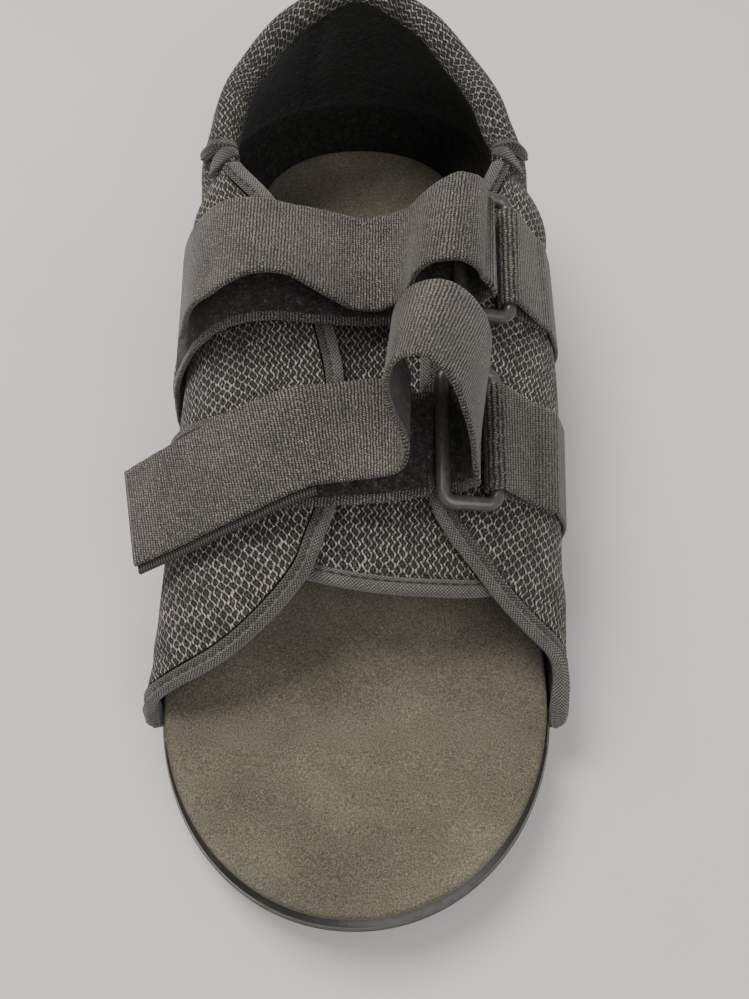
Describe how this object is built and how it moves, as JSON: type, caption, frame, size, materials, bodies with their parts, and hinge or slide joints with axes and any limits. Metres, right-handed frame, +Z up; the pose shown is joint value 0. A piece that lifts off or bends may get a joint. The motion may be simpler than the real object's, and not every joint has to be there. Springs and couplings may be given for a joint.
{
  "type": "post operative shoe",
  "caption": "Open-toed post operative shoe with a flat foam footbed, rocker sole, hollow mesh upper, padded collar, tongue and hook-and-loop straps through rings.",
  "frame": {"origin": "centre of the flat under the heel, on the floor", "axes": "+X across the shoe towards the side with the rings, +Y from the toe to the heel, +Z up"},
  "size_m": [0.1282, 0.2758, 0.1105],
  "materials": {
    "outsole_rubber": "moulded foam rubber, satin, with a ribbed side",
    "footbed_foam": "closed-cell foam board, matt, finely speckled",
    "mesh_cloth": "black warp-knit spacer mesh",
    "binding_tape": "woven edge tape",
    "ring_plastic": "satin black moulded plastic",
    "strap_webbing": "black woven webbing with fine ribs",
    "hook_tape": "moulded hook tape",
    "collar_lining": "brushed knit lining"
  },
  "bodies": {
    "root": {"outsole": "outsole_rubber", "footbed": "footbed_foam", "upper": "mesh_cloth", "left_binding": "binding_tape", "right_binding": "binding_tape", "tongue": "mesh_cloth", "tongue_binding": "binding_tape", "front_ring": "ring_plastic", "rear_ring": "ring_plastic", "front_chape": "strap_webbing", "rear_chape": "strap_webbing", "front_strap": "strap_webbing", "rear_strap": "strap_webbing", "front_hook_tape": "hook_tape"}
  },
  "joints": []
}
